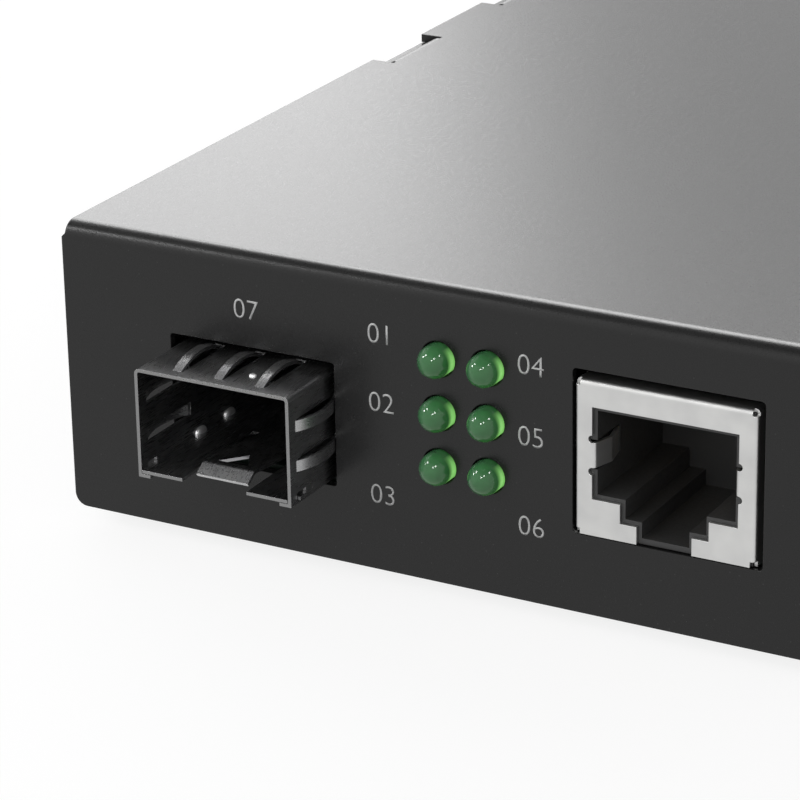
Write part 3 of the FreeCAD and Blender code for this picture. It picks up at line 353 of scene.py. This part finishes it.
# Each: darkest and lightest colour, least and most roughness, then what differs from the rest
moulded_tones = {
    "port_plastic": (grey(0.036), grey(0.046), 0.38, 0.5),
    "holder_plastic": (grey(0.010), grey(0.016), 0.45, 0.6),
    "chip_plastic": (grey(0.018), grey(0.026), 0.5, 0.65),
    "foot_rubber": (grey(0.014), grey(0.022), 0.6, 0.8, 0.4, 0.012),
    "ferrite": (grey(0.030), grey(0.045), 0.55, 0.7),
    "ceramic_chip": (rgb(0.36, 0.24, 0.15), rgb(0.44, 0.30, 0.2), 0.3, 0.4),
}
plated_tones = {
    # cage_crest: a lighter copy of the cage's plating, which paints a highlight on what wears it
    "cage_crest": (grey(0.74), grey(0.84), 0.46, 0.56),
    "black_screw": (grey(0.035), grey(0.055), 0.32, 0.45),
    "plain_steel": (grey(0.48), grey(0.56), 0.28, 0.4),
    "standoff_steel": (grey(0.42), grey(0.52), 0.3, 0.42, (1, 1, 0.1)),
    "jack_metal": (grey(0.58), grey(0.66), 0.2, 0.3),
    "tinned_lead": (grey(0.58), grey(0.68), 0.25, 0.35),
    "contact_gold": (rgb(0.80, 0.54, 0.20), rgb(0.88, 0.62, 0.26), 0.18, 0.28),
    "crystal_can": (grey(0.60), grey(0.68), 0.22, 0.32, (0.1, 1, 1)),
    "capacitor_can": (grey(0.62), grey(0.70), 0.24, 0.34, (1, 1, 0.1)),
}
finishes = {
    "case_paint": case_paint(),
    "cage_metal": cage_metal(),
    "port_metal": port_metal(),
    "circuit_board": circuit_board(),
    "legend_ink": legend_ink(),
}
for name, tones in moulded_tones.items():
    finishes[name] = moulded(name, *tones)
for name, tones in plated_tones.items():
    finishes[name] = plated(name, *tones)

led_flange_reach = 0.4 * MM     # flange outside the lens


def lens_centre(name):
    """The middle of the ball end of an LED's lens."""
    low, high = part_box(name)
    radius = (high.x - low.x) / 2 - led_flange_reach
    return ((low.x + high.x) / 2, low.y + radius, (low.z + high.z) / 2)


def finish_frame():
    """Gives every CAD node its slot's finish. Each LED has one of its own."""
    for name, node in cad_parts.items():
        for slot in node.material_slots:
            finish = slot.material.name.split(".")[0]
            if finish == "led_green":
                slot.material = led_green(lens_centre(name))
            else:
                slot.material = finishes[finish]


# Dimples pressed into the SFP cage: two in each side, and one in the top that stands out

cage_sheet = 0.3 * MM
cage_wall_inset = 0.9 * MM      # the cage's wall, inside the crests of its springs
side_dimple_height = 0.35 * MM  # above the underside of the floor plate
side_dimples = (("front", 9.5 * MM), ("rear", 14.3 * MM))       # behind the mouth
side_dimple_radii = (0.42 * MM, 0.85 * MM, 0.52 * MM)
top_dimple_from_left = 10.87 * MM
top_dimple_from_mouth = 3.0 * MM
top_dimple_radii = (0.34 * MM, 0.34 * MM, 0.22 * MM)
dome_segments = 20
dome_rings = 12
dome_sunk = 0.05 * MM           # kept of the dome below the sheet's face


def add_dimple(name, place, outward, radii):
    """A shallow oval dome whose rim lies on the sheet at place."""
    work = bmesh.new()
    bmesh.ops.create_uvsphere(work, u_segments=dome_segments, v_segments=dome_rings, radius=1.0)
    for vertex in work.verts:
        vertex.co = Vector(place) + Vector([a * r for a, r in zip(vertex.co, radii)])
    behind = [face for face in work.faces
              if (face.calc_center_median() - Vector(place)).dot(Vector(outward)) < -dome_sunk]
    bmesh.ops.delete(work, geom=behind, context="FACES")
    for face in work.faces:
        face.smooth = True
    mesh = bpy.data.meshes.new(name)
    work.to_mesh(mesh)
    work.free()
    # The dimples are pressed shapes; their lighter cage_crest plating paints their highlight
    mesh.materials.append(finishes["cage_crest"])
    piece = bpy.data.objects.new(name, mesh)
    bpy.context.scene.collection.objects.link(piece)
    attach(piece, "root")


def add_dimples():
    low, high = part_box("sfp_cage_shell")
    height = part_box("sfp_cage_floor")[0].z + side_dimple_height
    wall = cage_wall_inset + cage_sheet
    for side, x, inward in (("left", low.x + wall, 1), ("right", high.x - wall, -1)):
        for row, from_mouth in side_dimples:
            add_dimple(f"cage_dimple_{side}_{row}", (x, low.y + from_mouth, height),
                       (inward, 0, 0), side_dimple_radii)
    top = (low.x + top_dimple_from_left, low.y + top_dimple_from_mouth, high.z - cage_wall_inset)
    add_dimple("cage_dimple_top", top, (0, 0, 1), top_dimple_radii)


# Legends: plain numbers printed beside the lamps and above the slot

legend_height = 1.75 * MM
legend_thickness = 0.012 * MM
legend_thinning = 0.012         # taken off each side of a stroke, of the font's size
legend_curve_steps = 6
weld_distance = 0.001 * MM
led_number_places = (           # mm to the right of the LED's middle, and above it
    ("led_1", -5.45, 1.30),
    ("led_2", -5.45, -0.05),
    ("led_3", -5.45, -3.65),
    ("led_4", 4.05, 0.95),
    ("led_5", 4.05, -0.55),
    ("led_6", 4.05, -3.80),
)
slot_number_left = 0.4 * MM     # to the left of the cage's middle
slot_number_height = 21.6 * MM  # above the panel's bottom


def number_outline(text):
    """The font's shape of text as a flat mesh, in the font's size."""
    curve = bpy.data.curves.new("number", "FONT")
    curve.body = text
    curve.align_x = "CENTER"
    curve.resolution_u = legend_curve_steps
    curve.offset = -legend_thinning
    drawn = bpy.data.objects.new("number", curve)
    bpy.context.scene.collection.objects.link(drawn)
    bpy.context.view_layer.update()
    shown = drawn.evaluated_get(bpy.context.evaluated_depsgraph_get())
    mesh = bpy.data.meshes.new_from_object(shown)
    bpy.data.objects.remove(drawn)
    return mesh


def print_number(text, x, z):
    """A number on the panel, centred on x and z."""
    mesh = number_outline(text)
    low = min(vertex.co.y for vertex in mesh.vertices)
    high = max(vertex.co.y for vertex in mesh.vertices)
    scale = legend_height / (high - low)
    middle = (high + low) / 2
    work = bmesh.new()
    work.from_mesh(mesh)
    for vertex in work.verts:
        vertex.co = Vector((x + vertex.co.x * scale, front, z + (vertex.co.y - middle) * scale))
    bmesh.ops.remove_doubles(work, verts=work.verts, dist=weld_distance)
    raised = bmesh.ops.extrude_face_region(work, geom=work.faces[:])
    for item in raised["geom"]:
        if isinstance(item, bmesh.types.BMVert):
            item.co.y -= legend_thickness
    bmesh.ops.recalc_face_normals(work, faces=work.faces)
    work.to_mesh(mesh)
    work.free()
    mesh.materials.append(finishes["legend_ink"])
    piece = bpy.data.objects.new("legend_" + text, mesh)
    bpy.context.scene.collection.objects.link(piece)
    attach(piece, "root")


def add_legends():
    for number, (lamp, across, up) in enumerate(led_number_places, 1):
        low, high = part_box(lamp)
        middle = (low + high) / 2
        print_number(f"{number:02d}", middle.x + across * MM, middle.z + up * MM)
    low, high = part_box("sfp_cage_shell")
    print_number("07", (low.x + high.x) / 2 - slot_number_left, panel_bottom + slot_number_height)


# Stage

floor_size = 12.0
floor_white_from = 0.16         # distances from the object's middle: shadow kept inside,
floor_white_to = 0.5            # plain white outside
floor_lift = 0.84               # what the floor shines by itself where it is seen
floor_paper = 0.22              # how much it shows of the light and the object's shadow
world_light = 0.62
ceiling_from = 0.60             # heights on the unit sphere, between which it gets darker
ceiling_to = 0.88
ceiling_level = 0.25


def multiply(tree, first, second):
    made = add_node(tree, "ShaderNodeMath", {0: first, 1: second}, operation="MULTIPLY")
    return made.outputs["Value"]


def light_path_seen(tree):
    """1 for camera, glossy and transmission rays, 0 for the rays that light the object."""
    path = add_node(tree, "ShaderNodeLightPath")
    total = path.outputs["Is Camera Ray"]
    for name in ("Is Glossy Ray", "Is Transmission Ray"):
        inputs = {0: total, 1: path.outputs[name]}
        total = add_node(tree, "ShaderNodeMath", inputs, operation="MAXIMUM").outputs["Value"]
    return total


def floor_material():
    """White paper that takes the object's shadow and fades to plain white away from it."""
    material = bpy.data.materials.new("floor")
    material.use_nodes = True
    tree = material.node_tree
    tree.nodes.remove(tree.nodes["Principled BSDF"])
    seen = light_path_seen(tree)
    paper = add_node(tree, "ShaderNodeBsdfDiffuse", {"Color": grey(floor_paper)})
    lift = add_node(tree, "ShaderNodeEmission", {"Strength": multiply(tree, seen, floor_lift)})
    lit = add_node(tree, "ShaderNodeAddShader", {0: paper.outputs[0], 1: lift.outputs[0]})
    white = add_node(tree, "ShaderNodeEmission", {"Strength": 1.0})
    place = add_node(tree, "ShaderNodeTexCoord").outputs["Object"]
    away = add_node(tree, "ShaderNodeVectorMath", {0: place}, operation="LENGTH").outputs["Value"]
    fade = add_node(tree, "ShaderNodeMapRange", {0: away, 1: floor_white_from, 2: floor_white_to},
                    interpolation_type="SMOOTHSTEP").outputs["Result"]
    both = add_node(tree, "ShaderNodeMixShader", {0: multiply(tree, seen, fade),
                                                  1: lit.outputs[0], 2: white.outputs[0]})
    set_socket(tree, tree.nodes["Material Output"].inputs["Surface"], both.outputs[0])
    return material


def add_floor():
    mesh = bpy.data.meshes.new("floor")
    half = floor_size / 2
    level = cad_box[0][2]
    corners = [(x * half, y * half, level) for x, y in ((-1, -1), (1, -1), (1, 1), (-1, 1))]
    mesh.from_pydata(corners, [], [(0, 1, 2, 3)])
    mesh.materials.append(floor_material())
    floor = bpy.data.objects.new("floor", mesh)
    bpy.context.scene.collection.objects.link(floor)


def add_world():
    """White to the sides, darker overhead, and a softer level for the light on the object."""
    world = bpy.data.worlds.new("world")
    world.use_nodes = True
    tree = world.node_tree
    place = add_node(tree, "ShaderNodeTexCoord").outputs["Generated"]
    height = add_node(tree, "ShaderNodeSeparateXYZ", {0: place}).outputs["Z"]
    overhead = add_node(tree, "ShaderNodeMapRange", {0: height, 1: ceiling_from, 2: ceiling_to,
                                                     3: 1.0, 4: ceiling_level},
                        interpolation_type="SMOOTHSTEP").outputs["Result"]
    level = add_node(tree, "ShaderNodeMapRange", {0: light_path_seen(tree), 3: world_light,
                                                  4: 1.0}).outputs["Result"]
    background = tree.nodes["Background"]
    set_socket(tree, background.inputs["Strength"], multiply(tree, overhead, level))
    set_socket(tree, background.inputs["Color"], grey(1.0))
    bpy.context.scene.world = world


# Light: angles in degrees, sizes in metres. Radiance 1 is the brightness of white paper.

glint_places = ((-56, 40), (78, 50), (24, 38.5), (6, 26.5), (-64, 24))      # azimuth, elevation


def add_softbox(name, azimuth, elevation, distance, width, height, radiance):
    """A soft rectangle that faces the object."""
    data = bpy.data.lights.new(name, "AREA")
    data.shape = "RECTANGLE"
    data.size = width
    data.size_y = height
    data.energy = radiance * math.pi * width * height
    box = bpy.data.objects.new(name, data)
    out = direction(azimuth, elevation)
    turn = out.to_track_quat("Z", "Y").to_matrix().to_4x4()
    box.matrix_world = Matrix.Translation(centre + out * distance) @ turn
    box.visible_camera = False
    bpy.context.scene.collection.objects.link(box)
    return box


def add_lights():
    """Two boxes behind for the top and the bend, one in front for the panel, and glints."""
    add_softbox("back_left", azimuth=234.5, elevation=22, distance=0.9,
                width=0.8, height=0.45, radiance=3.42)
    back_high = add_softbox("back_high", azimuth=205, elevation=48, distance=0.9,
                            width=0.5, height=0.38, radiance=11)
    back_high.visible_diffuse = False
    front_left = add_softbox("front_left", azimuth=-38, elevation=33, distance=0.9,
                             width=1.0, height=0.75, radiance=1.3)
    front_left.visible_glossy = False
    for place, (azimuth, elevation) in enumerate(glint_places):
        glint = add_softbox(f"glint_{place}", azimuth, elevation, distance=0.8,
                            width=0.12, height=0.12, radiance=26)
        glint.visible_diffuse = False


bpy.context.scene.view_settings.view_transform = "Standard"
add_camera()
finish_frame()
add_dimples()
add_legends()
add_floor()
add_world()
add_lights()
